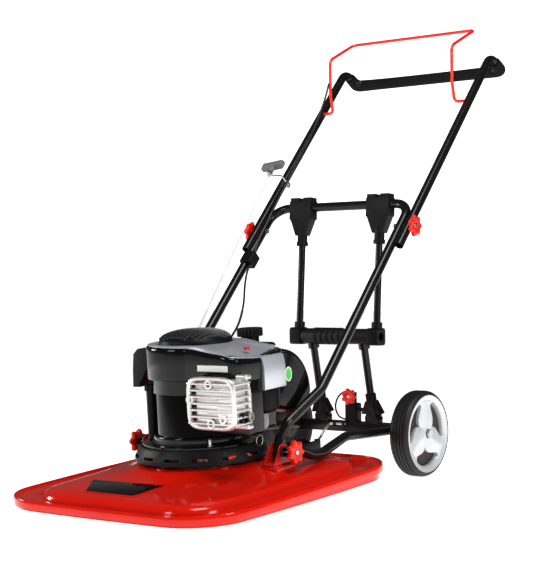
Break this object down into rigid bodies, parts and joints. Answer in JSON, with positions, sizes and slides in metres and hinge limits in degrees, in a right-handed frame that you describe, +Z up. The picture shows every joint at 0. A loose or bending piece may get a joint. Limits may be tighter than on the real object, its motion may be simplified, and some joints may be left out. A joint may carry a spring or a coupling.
{
  "type": "petrol hover mower",
  "caption": "Petrol hover mower: rounded rectangular deck, engine on an air intake ring, folding handle with bail and pull start, two-wheel transport carriage.",
  "frame": {"origin": "on the ground, at the middle of the machine's length and width", "axes": "+Z up, -Y the front of the deck, +Y towards the operator, +X the operator's left"},
  "size_m": [0.602, 1.3386, 1.1252],
  "materials": {
    "red_paint": "gloss",
    "red_plastic": "gloss",
    "red_wire": "satin",
    "black_paint": "satin",
    "black_plastic": "satin",
    "gloss_black": "gloss",
    "grey_ring": "matte",
    "foam": "matte",
    "grip_rubber": "matte",
    "cast_silver": "satin",
    "bright_steel": "satin",
    "tyre": "matte",
    "rim_silver": "satin",
    "core_brown": "matte",
    "cord_white": "matte",
    "cable_black": "satin",
    "grey_plastic": "satin",
    "filter_paper": "matte",
    "spark_body": "gloss",
    "blade_steel": "satin",
    "impeller_grey": "satin"
  },
  "bodies": {
    "root": {"deck_shell": "red_paint", "intake_ring": "grey_ring", "pivot_brackets": "red_wire", "catch_box": "black_plastic", "crankcase": "cast_silver", "cylinder": "cast_silver", "piston": "cast_silver", "crank_bearings": "bright_steel", "spark_plug": "spark_body", "muffler": "black_paint", "muffler_guard": "cast_silver", "blower_housing": "gloss_black", "top_cowl": "cast_silver", "starter_cover": "black_plastic", "fuel_tank": "black_plastic", "air_cleaner_cover": "gloss_black", "filter_element": "filter_paper", "carburettor": "cast_silver", "carburettor_cover": "black_plastic", "oil_filler": "black_plastic", "starter_rope": "cord_white"},
    "crank": {"crankshaft": "bright_steel", "flywheel": "cast_silver", "hover_impeller": "impeller_grey", "cutter_blade": "blade_steel", "blade_bolt": "bright_steel"},
    "fuel_cap": {"fuel_cap": "black_plastic"},
    "handle": {"lower_handle": "black_paint", "swing_arms": "black_paint", "axle_beam": "black_paint", "posts": "black_paint", "post_feet": "black_plastic", "lift_core": "black_paint", "lift_grip": "grip_rubber", "lift_end_clamps": "black_plastic", "struts": "black_paint", "crossbar_clamps": "black_plastic", "latch_block": "black_plastic", "pivot_bolts": "bright_steel", "axle_bolts": "bright_steel", "cable_clip": "black_plastic", "bail_cable_lower": "cable_black"},
    "latch_knob": {"latch_knob": "red_plastic"},
    "lock_lever": {"lock_lever": "bright_steel"},
    "deck_knob_left": {"deck_knob_left": "red_plastic"},
    "deck_knob_right": {"deck_knob_right": "red_plastic"},
    "mid_knob_left": {"mid_knob_left": "red_plastic"},
    "mid_knob_right": {"mid_knob_right": "red_plastic"},
    "upper_handle": {"upper_handle": "black_paint", "foam_grip": "foam", "rope_guide": "bright_steel", "bail_cable_upper": "cable_black"},
    "bail": {"bail": "red_wire"},
    "t_handle": {"t_handle": "grey_plastic"},
    "wheel_left": {"tyre_left": "tyre", "wheel_rim_left": "rim_silver", "wheel_core_left": "core_brown"},
    "wheel_right": {"tyre_right": "tyre", "wheel_rim_right": "rim_silver", "wheel_core_right": "core_brown"}
  },
  "joints": [
    {"name": "crank_spin", "type": "hinge", "parent": "root", "child": "crank", "pos_m": [0, -0.316, 0.04], "axis": [0, -0.0698, 0.9976], "continuous": true},
    {"name": "fuel_cap_turn", "type": "hinge", "parent": "root", "child": "fuel_cap", "pos_m": [0.039, -0.19428, 0.34924], "axis": [0, -0.0698, 0.9976], "range_deg": [0, 90]},
    {"name": "handle_pivot", "type": "hinge", "parent": "root", "child": "handle", "pos_m": [0, -0.28, 0.11], "axis": [1, 0, 0], "range_deg": [0, 40], "deforming": ["starter_rope", "bail_cable_lower", "bail_cable_upper"]},
    {"name": "handle_fold", "type": "hinge", "parent": "handle", "child": "upper_handle", "pos_m": [0, 0.18, 0.6], "axis": [1, 0, 0], "range_deg": [0, 130], "deforming": ["starter_rope", "bail_cable_lower", "bail_cable_upper"]},
    {"name": "bail_squeeze", "type": "hinge", "parent": "upper_handle", "child": "bail", "pos_m": [0, 0.476, 0.925], "axis": [1, 0, 0], "range_deg": [-29, 0], "stiffness_Nm_per_rad": 1, "springref_deg": 34.38, "deforming": ["bail_cable_upper"]},
    {"name": "rope_pull", "type": "slide", "parent": "upper_handle", "child": "t_handle", "axis": [-0.2186, 0.7447, 0.6306], "range_m": [0, 0.4], "stiffness_N_per_m": 40, "springref_m": -0.2, "deforming": ["starter_rope"]},
    {"name": "lock_lever_lift", "type": "hinge", "parent": "handle", "child": "lock_lever", "pos_m": [0, 0.2425, 0.117], "axis": [1, 0, 0], "range_deg": [-75, 0]},
    {"name": "latch_knob_turn", "type": "hinge", "parent": "handle", "child": "latch_knob", "pos_m": [0.012, 0.248, 0.185], "axis": [0, -1, 0], "continuous": true},
    {"name": "wheel_left_spin", "type": "hinge", "parent": "handle", "child": "wheel_left", "pos_m": [0, 0.261, 0.103], "axis": [1, 0, 0], "continuous": true},
    {"name": "wheel_right_spin", "type": "hinge", "parent": "handle", "child": "wheel_right", "pos_m": [0, 0.261, 0.103], "axis": [1, 0, 0], "continuous": true},
    {"name": "deck_knob_left_turn", "type": "hinge", "parent": "handle", "child": "deck_knob_left", "pos_m": [0, -0.28, 0.11], "axis": [1, 0, 0], "continuous": true},
    {"name": "mid_knob_left_turn", "type": "hinge", "parent": "handle", "child": "mid_knob_left", "pos_m": [0, 0.18, 0.6], "axis": [1, 0, 0], "continuous": true},
    {"name": "deck_knob_right_turn", "type": "hinge", "parent": "handle", "child": "deck_knob_right", "pos_m": [0, -0.28, 0.11], "axis": [1, 0, 0], "continuous": true},
    {"name": "mid_knob_right_turn", "type": "hinge", "parent": "handle", "child": "mid_knob_right", "pos_m": [0, 0.18, 0.6], "axis": [1, 0, 0], "continuous": true}
  ]
}
